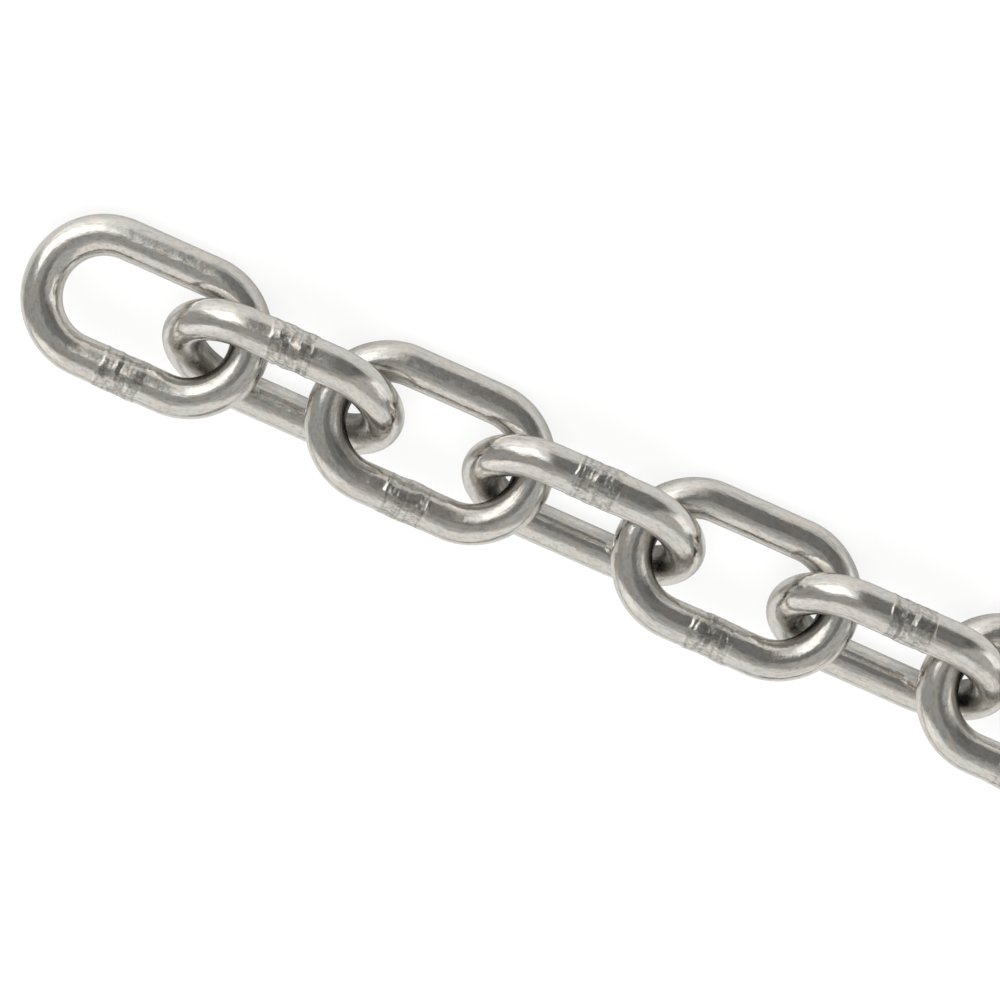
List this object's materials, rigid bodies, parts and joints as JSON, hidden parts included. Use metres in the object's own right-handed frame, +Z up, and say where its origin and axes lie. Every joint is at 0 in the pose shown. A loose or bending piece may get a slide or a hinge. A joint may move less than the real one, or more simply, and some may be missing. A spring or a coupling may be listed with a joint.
{
  "type": "welded link chain",
  "caption": "Cut length of welded short-link chain in bright round steel wire, laid straight with its links leaning alternately.",
  "frame": {"origin": "on the surface that the chain lies on, under the middle of its length", "axes": "+X along the chain, from the free end link that the picture shows towards the other end; +Z up; +Y across the chain"},
  "size_m": [0.288, 0.018, 0.0125],
  "materials": {
    "bright_steel": "satin"
  },
  "bodies": {
    "link_01": {"link_01": "bright_steel"},
    "link_02": {"link_02": "bright_steel"},
    "link_03": {"link_03": "bright_steel"},
    "link_04": {"link_04": "bright_steel"},
    "link_05": {"link_05": "bright_steel"},
    "link_06": {"link_06": "bright_steel"},
    "link_07": {"link_07": "bright_steel"},
    "link_08": {"link_08": "bright_steel"},
    "link_09": {"link_09": "bright_steel"},
    "link_10": {"link_10": "bright_steel"},
    "link_11": {"link_11": "bright_steel"},
    "link_12": {"link_12": "bright_steel"},
    "link_13": {"link_13": "bright_steel"},
    "link_14": {"link_14": "bright_steel"}
  },
  "joints": [
    {"name": "swing_02", "type": "hinge", "parent": "link_01", "child": "link_02", "pos_m": [-0.1155, 0, 0.00625], "axis": [0, -0.7071, 0.7071], "range_deg": [-90, 90]},
    {"name": "swing_03", "type": "hinge", "parent": "link_02", "child": "link_03", "pos_m": [-0.0977, 0, 0.00625], "axis": [0, 0.7071, 0.7071], "range_deg": [-90, 90]},
    {"name": "swing_04", "type": "hinge", "parent": "link_03", "child": "link_04", "pos_m": [-0.0785, 0, 0.00625], "axis": [0, 0.7071, -0.7071], "range_deg": [-90, 90]},
    {"name": "swing_05", "type": "hinge", "parent": "link_04", "child": "link_05", "pos_m": [-0.0585, 0, 0.00625], "axis": [0, -0.7071, -0.7071], "range_deg": [-90, 90]},
    {"name": "swing_06", "type": "hinge", "parent": "link_05", "child": "link_06", "pos_m": [-0.0385, 0, 0.00625], "axis": [0, -0.7071, 0.7071], "range_deg": [-90, 90]},
    {"name": "swing_07", "type": "hinge", "parent": "link_06", "child": "link_07", "pos_m": [-0.0185, 0, 0.00625], "axis": [0, 0.7071, 0.7071], "range_deg": [-90, 90]},
    {"name": "swing_08", "type": "hinge", "parent": "link_07", "child": "link_08", "pos_m": [0.0015, 0, 0.00625], "axis": [0, 0.7071, -0.7071], "range_deg": [-90, 90]},
    {"name": "swing_09", "type": "hinge", "parent": "link_08", "child": "link_09", "pos_m": [0.0215, 0, 0.00625], "axis": [0, -0.7071, -0.7071], "range_deg": [-90, 90]},
    {"name": "swing_10", "type": "hinge", "parent": "link_09", "child": "link_10", "pos_m": [0.0415, 0, 0.00625], "axis": [0, -0.7071, 0.7071], "range_deg": [-90, 90]},
    {"name": "swing_11", "type": "hinge", "parent": "link_10", "child": "link_11", "pos_m": [0.0615, 0, 0.00625], "axis": [0, 0.7071, 0.7071], "range_deg": [-90, 90]},
    {"name": "swing_12", "type": "hinge", "parent": "link_11", "child": "link_12", "pos_m": [0.0815, 0, 0.00625], "axis": [0, 0.7071, -0.7071], "range_deg": [-90, 90]},
    {"name": "swing_13", "type": "hinge", "parent": "link_12", "child": "link_13", "pos_m": [0.1015, 0, 0.00625], "axis": [0, -0.7071, -0.7071], "range_deg": [-90, 90]},
    {"name": "swing_14", "type": "hinge", "parent": "link_13", "child": "link_14", "pos_m": [0.1215, 0, 0.00625], "axis": [0, -0.7071, 0.7071], "range_deg": [-90, 90]}
  ]
}
